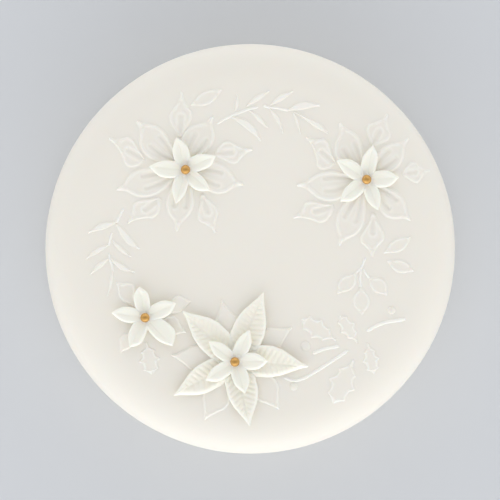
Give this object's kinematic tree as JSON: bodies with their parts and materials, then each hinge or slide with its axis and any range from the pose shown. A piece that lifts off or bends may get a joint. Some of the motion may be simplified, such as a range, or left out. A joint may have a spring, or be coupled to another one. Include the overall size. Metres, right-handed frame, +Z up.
{
  "type": "christmas cake",
  "caption": "Round iced christmas cake with leaves embossed in its white icing, moulded sugar poinsettias and gold sugar pearls on top.",
  "frame": {"origin": "centre of the cake's flat base, on the surface that it stands on", "axes": "+Z up along the cake's axis; +Y towards the top edge of the picture, which looks straight down; +X towards its right edge"},
  "size_m": [0.18, 0.18, 0.0685],
  "materials": {
    "icing": "smooth ivory white sugar paste, satin",
    "sugar": "moulded white sugar paste, soft satin",
    "gold": "pearly gold lustre on hard sugar"
  },
  "bodies": {
    "root": {"iced_cake": "icing", "flower_back_left": "sugar", "flower_back_right": "sugar", "flower_front_left": "sugar", "poinsettia_bracts": "sugar", "poinsettia_heart": "sugar", "pearl_back_left": "gold", "pearl_back_right": "gold", "pearl_front_left": "gold", "pearl_poinsettia": "gold"}
  },
  "joints": []
}
